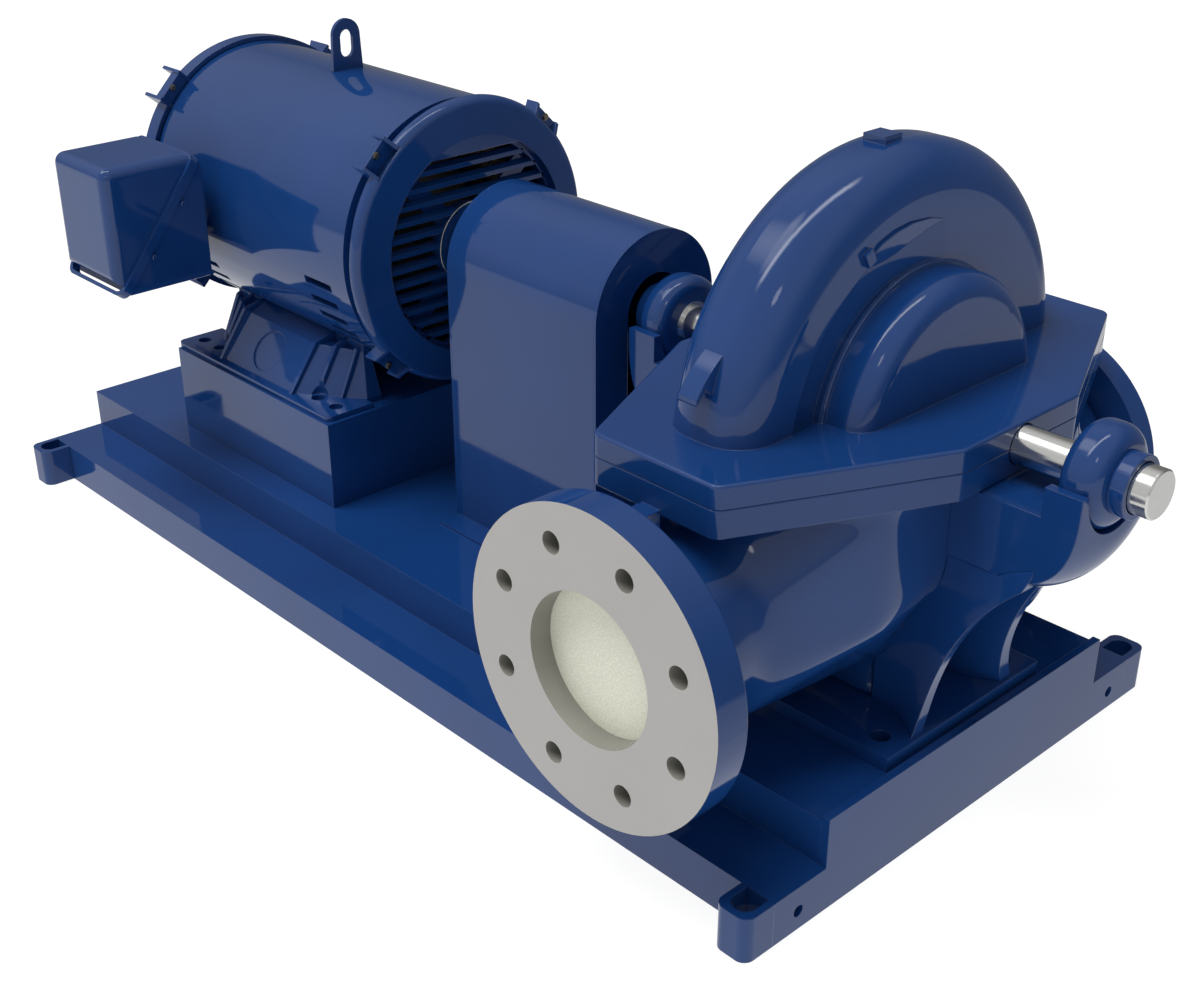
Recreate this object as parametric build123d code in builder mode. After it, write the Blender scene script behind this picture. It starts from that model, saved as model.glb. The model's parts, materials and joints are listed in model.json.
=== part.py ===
# Horizontal split case pump with its electric motor on one steel base.
# The origin is the middle of the base's underside. +X runs along the shaft towards the
# pump, -Y towards the discharge flange, +Z up. Millimetres.
import math
import os

from build123d import *

os.makedirs("parts", exist_ok=True)

# Base
base_length = 1371.6
deck_width = 457.2
deck_height = 101.6
skirt_width = 601.2
skirt_height = 50.8
base_sheet = 8.0
end_plate_t = 9.0
end_plate_lip = 5.6
end_hole_r = 6.5
end_hole_y = 266.2
end_hole_z = 22.5
lug_width = 41.1
lug_reach = 38.4
lug_corner_r = 12.0
lug_wall = 7.6

# Shaft line
shaft_z = 419.8
pump_from_end = 165.0
motor_from_pump = 849.4
pump_shaft_r = 23.8
pump_neck_r = 19.5
motor_shaft_r = 27.0
motor_shaft_reach = 417.5
running_clearance = 0.05
casing_clearance = 1.0
shaft_gap = 6.0
shaft_chamfer = 1.5

# Pedestal and motor; the frame's shell is frame_gap above the motor's feet
frame_gap = 34.4
pedestal_length = 348.0
pedestal_shift = 7.0
pedestal_width = 384.2
pedestal_wall = 10.0
foot_t = 6.5
foot_half = 175.0
foot_outer_y = 187.5
foot_inner_y = 118.0
foot_corner_r = 10.0
foot_relief = 1.2
foot_relief_half = 78.0
foot_hole_r = 8.7
foot_hole_y = 158.75
foot_hole_long = 152.4
foot_hole_step = 38.1
spot_face_r = 13.0
spot_face_height = 27.0
block_inner_y = 95.0
panel_half = 81.0
panel_lip = 9.1
shell_overlap = 18.0
panel_low_y = 175.0
panel_high_y = 132.0
flank_low_half = 160.5
flank_low_y = 117.0
flank_high_half = 141.5
flank_high_y = 105.0
foot_rib_t = 6.0
foot_rib_proud = 4.0
foot_ribs = (81.0, 108.0, 135.0)
recess_length = 58.0
recess_height = 55.0
recess_depth = 2.0
shell_r = 170.0
shell_wall = 9.0
shell_back = 212.4
shell_front = 207.1
slot_count = 5
slot_angle = 12.7
slot_pitch = 8.8
slot_width = 10.0
slot_length = 54.7
slot_x = 144.6
bell_proud = 6.0
bell_reach = 33.5
bell_collar = 12.0
bell_face = 9.0
bell_face_width = 43.4
front_groove = 20.5
rear_groove = 3.0
front_rim_r = 12.0
rear_rim_r = 15.0
spigot_length = 10.0
spigot_clearance = 0.2
opening_flat_drop = 18.1
louvre_pitch = 18.3
louvre_shift = 7.4
louvre_depth = 16.0
louvre_edge = 11.5
louvre_lip = 2.0
louvre_t = 4.6
louvre_rise = 13.4
louvre_ring_t = 6.0
spoke_width = 24.0
spoke_depth = 8.0
spoke_recess = 2.0
hub_ring_r = 52.5
hub_ring_t = 8.0
motor_cap_length = 14.0
core_depth = 66.0
core_length = 224.0
winding_inset = 15.0
winding_depth = 42.0
winding_length = 62.0
tab_half = 23.5
tab_wall = 4.5
tab_reach = 12.0
tab_root_depth = 3.0
tab_plate_drop = 2.0
tab_toe_drop = 7.0
tab_shell_gap = 1.5
front_tab_seat = 13.5
front_tab_plate = 5.0
front_tab_slope = 12.0
front_tab_crest = 12.0
front_tab_toe = 2.0
rear_tab_seat = 30.5
rear_tab_plate = 16.0
rear_tab_slope = 0.0
rear_tab_crest = -8.0
rear_tab_toe = 3.0
eye_width = 60.0
eye_height = 62.0
eye_t = 14.0
eye_slot_width = 24.0
eye_slot_height = 38.0
eye_rim = 12.0
box_from_motor = 119.4
box_width = 128.0
box_outer_y = -325.0
box_inner_y = -192.0
box_above = 88.2
box_below = 74.8
cover_below = 57.8
seam_top_y = -193.6
seam_low_y = -321.9
seam_trim_top = 11.0
seam_trim_low = 12.0
cover_r = 14.0
box_r = 12.0
strip_t = 12.0
strip_proud = 5.0
strip_gap = 3.0
strip_corner_r = 16.0
neck_r = 32.0
neck_root = 10.0

# Coupling and its guard
guard_from_motor = 299.2
guard_from_pump = 298.0
guard_r = 90.0
guard_sheet = 3.0
guard_flange = 29.0
guard_opening_r = 42.0
guard_opening_drop = 119.8
coupling_r = 62.0
coupling_hub_r = 44.0
coupling_hub_length = 52.0
coupling_flange_t = 12.0
coupling_sleeve_r = 58.0
coupling_sleeve_length = 56.0

# Pump casing, about the pump's middle, which is pump_from_end before the base's end
plate_half_x = 175.8
plate_half_y = 302.9
plate_side_half = 75.8
plate_end_half = 89.2
plate_upper_t = 23.2
plate_lower_t = 27.6
plate_corner_r = 12.0
plate_edge_r = 3.0
seam_chamfer = 0.8
volute_r = 250.0
volute_width = 104.0
volute_fillet = 42.0
groove_r0 = 144.0
groove_r1 = 179.0
groove_depth = 1.2
groove_tilt = 2.6
groove_cut = 24.0
hub_step = 2.0
dome_r = 138.3
dome_half = 97.0
dome_fillet = 22.0
pad_size = 25.0
pad_reach = 6.0
pad_root = 10.0
face_lug_r = 190.5
face_lug_angle = 118.0
face_lug_long = 14.0
face_lug_wide = 11.0
face_lug_proud = 5.0
ear_t = 22.0
ear_top_y = 219.0
ear_top = 107.0
ear_back_y = 247.0
ear_back = 86.0
ear_tip_y = 260.5
ear_tip_top = 68.0
ear_tip_low = 62.5
ear_arch_y = 249.0
ear_arch = 76.0
ear_heel_y = 230.0
ear_heel = 58.5
nozzle_drop = 160.4
nozzle_r = 104.0
bore_r = 76.2
discharge_y = -380.0
discharge_r = 158.75
discharge_t = 36.5
suction_y = 335.4
suction_r = 139.7
suction_t = 30.0
bolt_circle_r = 120.65
flange_hole_r = 11.1
flange_holes = 8
disc_t = 12.0
branch_root_y = 112.0
discharge_root_half = 79.0
suction_root_half = 150.0
branch_root_low = 264.8
branch_root_high = 40.0
branch_root_r = 60.0
passage_r = 185.0
passage_half = 147.0
passage_fillet = 60.0
core_half_x = 75.0
core_half_y = 56.0
core_top_drop = 157.8
core_r = 12.0
boss_half = 11.5
boss_low = 64.8
boss_high = 22.8

# Bearings, their arms and the feet; reaches are from the pump's middle
shaft_reach = 317.4
arm_half_width = 60.0
arm_root = 88.0
arm_reach = 278.2
arm_r = 119.0
arm_fillet = 62.0
arm_floor_drop = 29.3
floor_recess_start = 175.2
floor_recess_length = 49.0
floor_recess_width = 50.0
floor_recess_r = 12.0
floor_recess_depth = 2.0
seat_reach = 239.9
housing_reach = 241.2
housing_length = 41.0
housing_r = 50.0
housing_fillet_in = 13.0
housing_fillet_out = 19.0
cap_r = 30.3
cap_length = 15.7
foot_plate_half = 151.0
foot_plate_width = 254.0
foot_plate_t = 16.4
pump_foot_hole_r = 10.0
pump_foot_hole_x = 122.0
pump_foot_hole_y = 101.6
web_t = 14.0
web_flare_x = 79.2
web_low_y = 85.0
web_high_y = 60.0
web_reach = 146.2
web_top_reach = 244.2
web_arc_r = 260.0
web_drop = 101.8
web_over = 20.0

pump_x = base_length / 2 - pump_from_end
motor_x = pump_x - motor_from_pump
motor_shaft_end_x = motor_x + motor_shaft_reach
pedestal_top = shaft_z - shell_r - frame_gap
foot_top = pedestal_top + foot_t
shell_x0 = motor_x - shell_back
shell_x1 = motor_x + shell_front
shell_bore_r = shell_r - shell_wall
bell_r = shell_r + bell_proud
spigot_r = shell_bore_r - spigot_clearance
collar_r = shell_bore_r - bell_collar
opening_r = bell_r - bell_face_width
opening_chord = opening_r - opening_flat_drop
front_face_x = shell_x1 + bell_reach
rear_face_x = shell_x0 - bell_reach
guard_x0 = motor_x + guard_from_motor
guard_x1 = pump_x - guard_from_pump
nozzle_z = shaft_z - nozzle_drop
shaft_plane = Plane(origin=(0, 0, shaft_z), x_dir=(0, 1, 0), z_dir=(1, 0, 0))


def save(part, name):
    """Labels a finished piece and writes it to its STEP file."""
    part.label = name
    export_step(part, f"parts/{name}.step")


def ring(x0, x1, r0, r1, mode=Mode.ADD):
    """Adds a plain ring about the shaft line to the part being built, or takes it away."""
    with BuildSketch(shaft_plane.offset(min(x0, x1))) as section:
        Circle(r1)
        if r0 > 0:
            Circle(r0, mode=Mode.SUBTRACT)
    extrude(section.sketch, amount=abs(x1 - x0), mode=mode)


# Base: a pressed deck with low side skirts, closed by two end plates
with BuildPart() as base_deck:
    with BuildSketch(Plane.YZ.offset(-base_length / 2 + end_plate_t)):
        bottom = (Align.CENTER, Align.MIN)
        Rectangle(skirt_width, skirt_height, align=bottom)
        Rectangle(deck_width, deck_height, align=bottom)
        Rectangle(skirt_width - 2 * base_sheet, skirt_height - base_sheet, align=bottom, mode=Mode.SUBTRACT)
        Rectangle(deck_width - 2 * base_sheet, deck_height - base_sheet, align=bottom, mode=Mode.SUBTRACT)
    extrude(amount=base_length - 2 * end_plate_t)
save(base_deck.part, "base_deck")

for name, start, lip in (("pump", base_length / 2 - end_plate_t, end_plate_lip), ("motor", -base_length / 2, 0)):
    with BuildPart() as end_plate:
        with BuildSketch(Plane.YZ.offset(start)):
            Rectangle(skirt_width, skirt_height, align=(Align.CENTER, Align.MIN))
            Rectangle(deck_width, deck_height + lip, align=(Align.CENTER, Align.MIN))
            with Locations((-end_hole_y, end_hole_z), (end_hole_y, end_hole_z)):
                Circle(end_hole_r, mode=Mode.SUBTRACT)
        extrude(amount=end_plate_t)
    save(end_plate.part, f"base_end_plate_{name}")

for x_name, x_side in (("pump", 1), ("motor", -1)):
    for y_name, y_side in (("discharge", -1), ("suction", 1)):
        lug_x = x_side * (base_length - lug_width) / 2
        pocket_r = lug_width / 2 - lug_wall
        pocket_y = skirt_width / 2 + lug_reach - lug_wall - pocket_r
        with BuildPart() as lug:
            with BuildSketch() as strap:
                with Locations((lug_x, y_side * (skirt_width + lug_reach) / 2)):
                    Rectangle(lug_width, lug_reach)
                outer = strap.vertices().group_by(Axis.Y)[0 if y_side < 0 else -1]
                fillet(outer, lug_corner_r)
                with Locations((lug_x, y_side * pocket_y)):
                    Circle(pocket_r, mode=Mode.SUBTRACT)
                with Locations((lug_x, y_side * (pocket_y + skirt_width / 2) / 2)):
                    Rectangle(2 * pocket_r, pocket_y - skirt_width / 2, mode=Mode.SUBTRACT)
            extrude(amount=skirt_height)
        save(lug.part, f"anchor_lug_{x_name}_{y_name}")

# Motor pedestal: a box of plate, open below
with BuildPart() as motor_pedestal:
    with Locations((motor_x + pedestal_shift, 0, deck_height)):
        Box(pedestal_length, pedestal_width, pedestal_top - deck_height,
            align=(Align.CENTER, Align.CENTER, Align.MIN))
    offset(amount=-pedestal_wall, openings=motor_pedestal.faces().sort_by(Axis.Z)[0])
save(motor_pedestal.part, "motor_pedestal")

# Motor frame: shell, feet, end bells and louvres
with BuildPart() as motor_shell:
    ring(shell_x0, shell_x1, shell_bore_r, shell_r)
    for x_side in (-1, 1):
        for y_side in (-1, 1):
            for k in range(slot_count):
                turn = y_side * (90 + slot_angle + k * slot_pitch)
                with Locations(Location((motor_x + x_side * slot_x, 0, shaft_z), (turn, 0, 0))):
                    Box(slot_length, slot_width, 2 * shell_r, mode=Mode.SUBTRACT,
                        align=(Align.CENTER, Align.CENTER, Align.MIN))
save(motor_shell.part, "motor_shell")


def foot_outline(half, flat_y, end_half, end_y, side):
    """Adds one foot's plan at one level: a flat middle and two slanted flanks."""
    points = [(-end_half, block_inner_y), (-end_half, end_y), (-half, flat_y),
              (half, flat_y), (end_half, end_y), (end_half, block_inner_y)]
    with BuildLine() as outline:
        Polyline(*[(motor_x + x, side * y) for x, y in points], close=True)
    make_face(outline.edges())


def flank_y(x, half, flat_y, end_half, end_y):
    """How far out the foot's edge is at a distance x from the motor's middle."""
    share = max(x - half, 0) / (end_half - half)
    return flat_y + share * (end_y - flat_y)


shell_edge_z = shaft_z - math.sqrt(shell_r**2 - flank_high_y**2)
panel_top = shell_edge_z - panel_lip
panel_height = panel_top - foot_top
with BuildPart() as motor_feet:
    for side in (-1, 1):
        with BuildSketch(Plane.XY.offset(pedestal_top)) as foot_base:
            with Locations((motor_x, side * (foot_inner_y + foot_outer_y) / 2)):
                Rectangle(2 * foot_half, foot_outer_y - foot_inner_y)
            fillet(foot_base.vertices().group_by(Axis.Y)[0 if side < 0 else -1], foot_corner_r)
            foot_outline(panel_half, panel_low_y, flank_low_half, flank_low_y, side)
        extrude(amount=foot_t)
        with BuildSketch(Plane.XY.offset(foot_top)):
            foot_outline(panel_half, panel_low_y, flank_low_half, flank_low_y, side)
        with BuildSketch(Plane.XY.offset(panel_top)):
            foot_outline(panel_half, panel_high_y, flank_high_half, flank_high_y, side)
        loft(ruled=True)
        with BuildSketch(Plane.YZ.offset(motor_x - flank_high_half)):
            with BuildLine():
                Polyline((side * block_inner_y, panel_top), (side * flank_high_y, panel_top),
                         (side * flank_high_y, shell_edge_z),
                         (side * block_inner_y, shell_edge_z + shell_overlap), close=True)
            make_face()
        extrude(amount=2 * flank_high_half)
        with BuildSketch(Plane.YZ.offset(motor_x - panel_half)):
            with BuildLine():
                Polyline((side * flank_high_y, panel_top), (side * panel_high_y, panel_top),
                         (side * flank_high_y, shell_edge_z), close=True)
            make_face()
        extrude(amount=2 * panel_half)
        for reach in foot_ribs:
            low_y = flank_y(reach, panel_half, panel_low_y, flank_low_half, flank_low_y) + foot_rib_proud
            high_y = flank_y(reach, panel_half, panel_high_y, flank_high_half, flank_high_y) + foot_rib_proud
            for end_side in (-1, 1):
                with BuildSketch(Plane.YZ.offset(motor_x + end_side * reach - foot_rib_t / 2)):
                    with BuildLine():
                        Polyline((side * block_inner_y, foot_top), (side * low_y, foot_top),
                                 (side * high_y, panel_top + foot_rib_proud),
                                 (side * block_inner_y, shell_edge_z + foot_rib_proud), close=True)
                    make_face()
                extrude(amount=foot_rib_t)
        slope = math.atan2(panel_height, panel_low_y - panel_high_y)
        panel_plane = Plane(origin=(motor_x, side * (panel_low_y + panel_high_y) / 2, foot_top + panel_height / 2),
                            x_dir=(1, 0, 0), z_dir=(0, side * math.sin(slope), math.cos(slope)))
        with BuildSketch(panel_plane):
            Ellipse(recess_length / 2, recess_height / 2)
        extrude(amount=-recess_depth, mode=Mode.SUBTRACT)
        with Locations((motor_x, side * (foot_inner_y + foot_outer_y) / 2, pedestal_top)):
            Box(2 * foot_relief_half, 2 * (foot_outer_y - block_inner_y), foot_relief, mode=Mode.SUBTRACT,
                align=(Align.CENTER, Align.CENTER, Align.MIN))
    ring(shell_x0, shell_x1, 0, shell_r, Mode.SUBTRACT)
    with Locations(*[(motor_x + sx * (foot_hole_long - k * foot_hole_step), sy * foot_hole_y, foot_top)
                     for sx in (-1, 1) for sy in (-1, 1) for k in (0, 1)]):
        Hole(foot_hole_r, depth=foot_t)
        Cylinder(spot_face_r, spot_face_height, mode=Mode.SUBTRACT,
                 align=(Align.CENTER, Align.CENTER, Align.MIN))
save(motor_feet.part, "motor_feet")

for name, face_x, way, rim_r, groove, seat, plate_t, slope, crest, toe in (
        ("front", front_face_x, 1, front_rim_r, front_groove, front_tab_seat, front_tab_plate,
         front_tab_slope, front_tab_crest, front_tab_toe),
        ("rear", rear_face_x, -1, rear_rim_r, rear_groove, rear_tab_seat, rear_tab_plate,
         rear_tab_slope, rear_tab_crest, rear_tab_toe)):
    shell_end_x = face_x - way * bell_reach
    rim_x = shell_end_x + way * groove
    seat_x = face_x - way * seat
    heel_x = shell_end_x + way * tab_shell_gap
    tab_root_r = spigot_r - tab_root_depth
    tab_tip_r = bell_r + tab_reach
    pocket_r = bell_r - rim_r
    with BuildPart() as bell:
        with BuildSketch(Plane.XZ) as profile:
            with BuildLine():
                Polyline((shell_end_x - way * spigot_length, shaft_z + collar_r),
                         (shell_end_x - way * spigot_length, shaft_z + spigot_r),
                         (rim_x, shaft_z + spigot_r),
                         (rim_x, shaft_z + bell_r),
                         (face_x, shaft_z + bell_r),
                         (face_x + way * bell_face, shaft_z + opening_r),
                         (face_x - way * louvre_depth, shaft_z + opening_r),
                         (face_x - way * louvre_depth, shaft_z + collar_r),
                         close=True)
            make_face()
            rim = profile.vertices().group_by(Axis.Y)[-1].sort_by(Axis.X)
            fillet(rim[-1 if way > 0 else 0], rim_r)
        revolve(axis=Axis((0, 0, shaft_z), (1, 0, 0)))
        with BuildSketch(shaft_plane.offset(min(face_x, face_x + way * bell_face))):
            Circle(opening_r)
            with Locations((0, opening_chord - opening_r)):
                Rectangle(2 * opening_r, 2 * opening_r, mode=Mode.SUBTRACT)
        extrude(amount=bell_face)
        # Each tab is a bolt plate between two fins, in a pocket where the rim stands before it
        for angle in (45, 135, 225, 315):
            turn = math.radians(angle)
            tab_plane = Plane(origin=(0, 0, shaft_z), x_dir=(1, 0, 0), z_dir=(0, -math.sin(turn), math.cos(turn)))
            if seat < bell_reach - groove + plate_t:
                with BuildSketch(tab_plane.offset(-tab_half)):
                    with Locations(((seat_x + face_x) / 2, (pocket_r + tab_tip_r) / 2)):
                        Rectangle(abs(face_x - seat_x), tab_tip_r - pocket_r)
                extrude(amount=2 * tab_half, mode=Mode.SUBTRACT)
            with BuildSketch(tab_plane.offset(-tab_half)):
                with Locations((seat_x - plate_t / 2, (tab_root_r + tab_tip_r - tab_plate_drop) / 2)):
                    Rectangle(plate_t, tab_tip_r - tab_plate_drop - tab_root_r)
            extrude(amount=2 * tab_half)
            for start in (-tab_half, tab_half - tab_wall):
                with BuildSketch(tab_plane.offset(start)):
                    with BuildLine():
                        Polyline((heel_x, tab_tip_r), (face_x - way * crest, tab_tip_r),
                                 (face_x - way * toe, bell_r - tab_toe_drop),
                                 (face_x - way * toe, tab_root_r), (heel_x + way * slope, tab_root_r), close=True)
                    make_face()
                extrude(amount=tab_wall)
    save(bell.part, f"motor_{name}_bell")

    # Louvres: each slat has an upright front edge and rises inwards behind it
    back_x = face_x - way * louvre_depth
    with BuildPart() as grille:
        rows = int(2 * opening_r / louvre_pitch)
        for row in range(-rows, rows):
            level = louvre_shift + row * louvre_pitch
            if not louvre_edge - opening_r < level < opening_chord - louvre_edge:
                continue
            low = shaft_z + level - louvre_edge / 2
            top = low + louvre_edge
            with BuildSketch(Plane.XZ):
                with BuildLine():
                    Polyline((face_x, low), (face_x, top), (back_x, top + louvre_rise),
                             (back_x, top + louvre_rise - louvre_t),
                             (face_x - way * louvre_lip, top + louvre_rise * louvre_lip / louvre_depth - louvre_t),
                             (face_x - way * louvre_lip, low), close=True)
                make_face()
            extrude(amount=opening_r, both=True)
        ring(face_x, back_x, opening_r - louvre_ring_t / 2, 2 * opening_r, Mode.SUBTRACT)
        ring(face_x, back_x, 0, hub_ring_r - hub_ring_t / 2, Mode.SUBTRACT)
        ring(face_x, back_x, opening_r - louvre_ring_t, opening_r)
        ring(face_x, back_x, hub_ring_r - hub_ring_t, hub_ring_r)
        for angle in (45, 135, 225, 315):
            spoke_x = (face_x - way * spoke_recess, face_x - way * (spoke_recess + spoke_depth))
            with BuildSketch(shaft_plane.offset(min(spoke_x))):
                with PolarLocations(0, 1, start_angle=angle):
                    with Locations(((opening_r + hub_ring_r - hub_ring_t - louvre_ring_t) / 2, 0)):
                        Rectangle(opening_r - hub_ring_r, spoke_width)
            extrude(amount=spoke_depth)
    save(grille.part, f"motor_{name}_louvres")

    with BuildPart() as motor_cap:
        ring(back_x, back_x + way * motor_cap_length, motor_shaft_r + running_clearance, hub_ring_r - hub_ring_t)
    save(motor_cap.part, f"motor_{name}_bearing_cap")

core_x = (shell_x0 + shell_x1) / 2
with BuildPart() as stator_core:
    ring(core_x - core_length / 2, core_x + core_length / 2, shell_bore_r - core_depth, shell_bore_r)
save(stator_core.part, "stator_core")
for name, start in (("front", core_x + core_length / 2), ("rear", core_x - core_length / 2 - winding_length)):
    with BuildPart() as winding:
        winding_r = shell_bore_r - winding_inset
        ring(start, start + winding_length, winding_r - winding_depth, winding_r)
    save(winding.part, f"stator_winding_{name}")

eye_base = shaft_z + shell_r
with BuildPart() as lifting_eye:
    with BuildSketch(Plane.XZ.offset(-eye_t / 2)):
        with Locations((motor_x, eye_base)):
            SlotOverall(2 * eye_height, eye_width, rotation=90)
        with Locations((motor_x, eye_base + eye_height - eye_rim - eye_slot_height / 2)):
            SlotOverall(eye_slot_height, eye_slot_width, rotation=90, mode=Mode.SUBTRACT)
    extrude(amount=eye_t)
    ring(shell_x0, shell_x1, 0, shell_r, Mode.SUBTRACT)
save(lifting_eye.part, "lifting_eye")

# Conduit box: body and cover meet on a slanted seam with cut ends, which a raised strip runs round
box_x = motor_x - box_from_motor
box_top = shaft_z + box_above
box_low = shaft_z - box_below
cover_low = shaft_z - cover_below
seam_length = math.hypot(seam_top_y - seam_low_y, box_top - box_low)
seam_y = (seam_top_y - seam_low_y) / seam_length
seam_z = (box_top - box_low) / seam_length
cover_seam_y = seam_low_y + (cover_low - box_low) * seam_y / seam_z
seam_high = (seam_top_y - seam_trim_top * seam_y, box_top - seam_trim_top * seam_z)
seam_low = (seam_low_y + seam_trim_low * seam_y, box_low + seam_trim_low * seam_z)
inner_top = seam_high[1] - (box_inner_y - seam_high[0]) * seam_y / seam_z
with BuildPart() as conduit_box_cover:
    with BuildSketch(Plane.YZ.offset(box_x - box_width / 2)):
        with BuildLine():
            Polyline(seam_high, (seam_top_y - seam_trim_top / seam_y, box_top), (box_outer_y, box_top),
                     (box_outer_y, cover_low), (cover_seam_y, cover_low), close=True)
        make_face()
    extrude(amount=box_width)
    rims = conduit_box_cover.faces().sort_by(Axis.Y)[0].edges()
    rims += conduit_box_cover.faces().sort_by(Axis.Z)[-1].edges().filter_by(Axis.Y)
    fillet(rims, cover_r)
save(conduit_box_cover.part, "conduit_box_cover")
with BuildPart() as conduit_box:
    with BuildSketch(Plane.YZ.offset(box_x - box_width / 2)):
        with BuildLine():
            Polyline((box_inner_y, inner_top), seam_high, seam_low,
                     (seam_low_y + seam_trim_low / seam_y, box_low), (box_inner_y, box_low), close=True)
        make_face()
    extrude(amount=box_width)
    fillet(conduit_box.faces().sort_by(Axis.Z)[0].edges().filter_by(Axis.Y), box_r)
    seam_plane = Plane(origin=(box_x, (seam_top_y + seam_low_y) / 2, (box_top + box_low) / 2),
                       x_dir=(1, 0, 0), z_dir=(0, -seam_z, seam_y))
    with BuildSketch(seam_plane.offset(-strip_t / 2)):
        with Locations((0, (seam_trim_low - seam_trim_top - strip_gap) / 2)):
            strip_length = seam_length - seam_trim_top - seam_trim_low + strip_gap
            RectangleRounded(box_width + 2 * strip_proud, strip_length + 2 * strip_proud, strip_corner_r)
            RectangleRounded(box_width, strip_length, strip_corner_r - strip_proud, mode=Mode.SUBTRACT)
    extrude(amount=strip_t)
    with Locations((box_x, box_inner_y - neck_root, shaft_z)):
        Cylinder(neck_r, neck_root - box_inner_y - shell_bore_r, rotation=(90, 0, 0),
                 align=(Align.CENTER, Align.CENTER, Align.MAX))
    ring(shell_x0, shell_x1, 0, shell_r, Mode.SUBTRACT)
    add(conduit_box_cover.part, mode=Mode.SUBTRACT)
save(conduit_box.part, "conduit_box")

# Coupling guard: an arched sheet with end plates
with BuildPart() as coupling_guard:
    with BuildSketch(Plane.YZ.offset(guard_x0 + guard_sheet)):
        for reach, mode in ((guard_r, Mode.ADD), (guard_r - guard_sheet, Mode.SUBTRACT)):
            with Locations((0, shaft_z)):
                Circle(reach, mode=mode)
            with Locations((0, deck_height)):
                Rectangle(2 * reach, shaft_z - deck_height, align=(Align.CENTER, Align.MIN), mode=mode)
        for side in (-1, 1):
            with Locations((side * (guard_r - guard_sheet + guard_flange / 2 + guard_sheet), deck_height)):
                Rectangle(guard_flange + guard_sheet, guard_sheet, align=(Align.CENTER, Align.MIN))
    extrude(amount=guard_x1 - guard_x0 - 2 * guard_sheet)
save(coupling_guard.part, "coupling_guard")
for name, start in (("motor", guard_x0), ("pump", guard_x1 - guard_sheet)):
    with BuildPart() as guard_end:
        with BuildSketch(Plane.YZ.offset(start)):
            with Locations((0, shaft_z)):
                Circle(guard_r)
            with Locations((0, deck_height)):
                Rectangle(2 * guard_r, shaft_z - deck_height, align=(Align.CENTER, Align.MIN))
            with Locations((0, shaft_z)):
                Circle(guard_opening_r, mode=Mode.SUBTRACT)
            with Locations((0, shaft_z - guard_opening_drop)):
                Rectangle(2 * guard_opening_r, guard_opening_drop, align=(Align.CENTER, Align.MIN),
                          mode=Mode.SUBTRACT)
        extrude(amount=guard_sheet)
    save(guard_end.part, f"guard_end_plate_{name}")

# Turning parts
with BuildPart() as motor_shaft:
    ring(rear_face_x + louvre_depth / 2, motor_shaft_end_x, 0, motor_shaft_r)
save(motor_shaft.part, "motor_shaft")
pump_shaft_x0 = motor_shaft_end_x + shaft_gap
with BuildPart() as pump_shaft:
    ring(pump_shaft_x0, pump_x + shaft_reach, 0, pump_shaft_r)
    chamfer(pump_shaft.edges().filter_by(GeomType.CIRCLE).sort_by(Axis.X)[-1], shaft_chamfer)
    ring(pump_x - housing_reach, pump_x + housing_reach, pump_neck_r, pump_shaft_r, Mode.SUBTRACT)
save(pump_shaft.part, "pump_shaft")
for name, start, way, inner in (("motor", motor_shaft_end_x, -1, motor_shaft_r),
                                ("pump", pump_shaft_x0, 1, pump_shaft_r)):
    with BuildPart() as hub:
        far = start + way * coupling_hub_length
        ring(min(start, far), max(start, far), inner, coupling_hub_r)
        flange_a = start + way * (coupling_sleeve_length / 2 - shaft_gap / 2)
        flange_b = flange_a + way * coupling_flange_t
        ring(min(flange_a, flange_b), max(flange_a, flange_b), inner, coupling_r)
    save(hub.part, f"coupling_hub_{name}")
sleeve_x = (motor_shaft_end_x + pump_shaft_x0) / 2
with BuildPart() as coupling_sleeve:
    ring(sleeve_x - coupling_sleeve_length / 2, sleeve_x + coupling_sleeve_length / 2,
         coupling_hub_r, coupling_sleeve_r)
save(coupling_sleeve.part, "coupling_sleeve")


def plate_outline():
    """Adds the split flange's long eight-sided outline to the sketch being built."""
    points = [(plate_side_half, -plate_half_y), (plate_half_x, -plate_end_half),
              (plate_half_x, plate_end_half), (plate_side_half, plate_half_y),
              (-plate_side_half, plate_half_y), (-plate_half_x, plate_end_half),
              (-plate_half_x, -plate_end_half), (-plate_side_half, -plate_half_y)]
    with BuildLine() as outline:
        Polyline(*[(pump_x + x, y) for x, y in points], close=True)
    make_face(outline.edges())


def drum(radius, half_width, fillet_r):
    """Adds a drum about the shaft line with rounded rims, centred on the pump."""
    with BuildPart() as body:
        with Locations(Location((pump_x, 0, shaft_z), (0, 90, 0))):
            Cylinder(radius, 2 * half_width)
        fillet(body.edges().filter_by(GeomType.CIRCLE), fillet_r)
    add(body.part)


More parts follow.
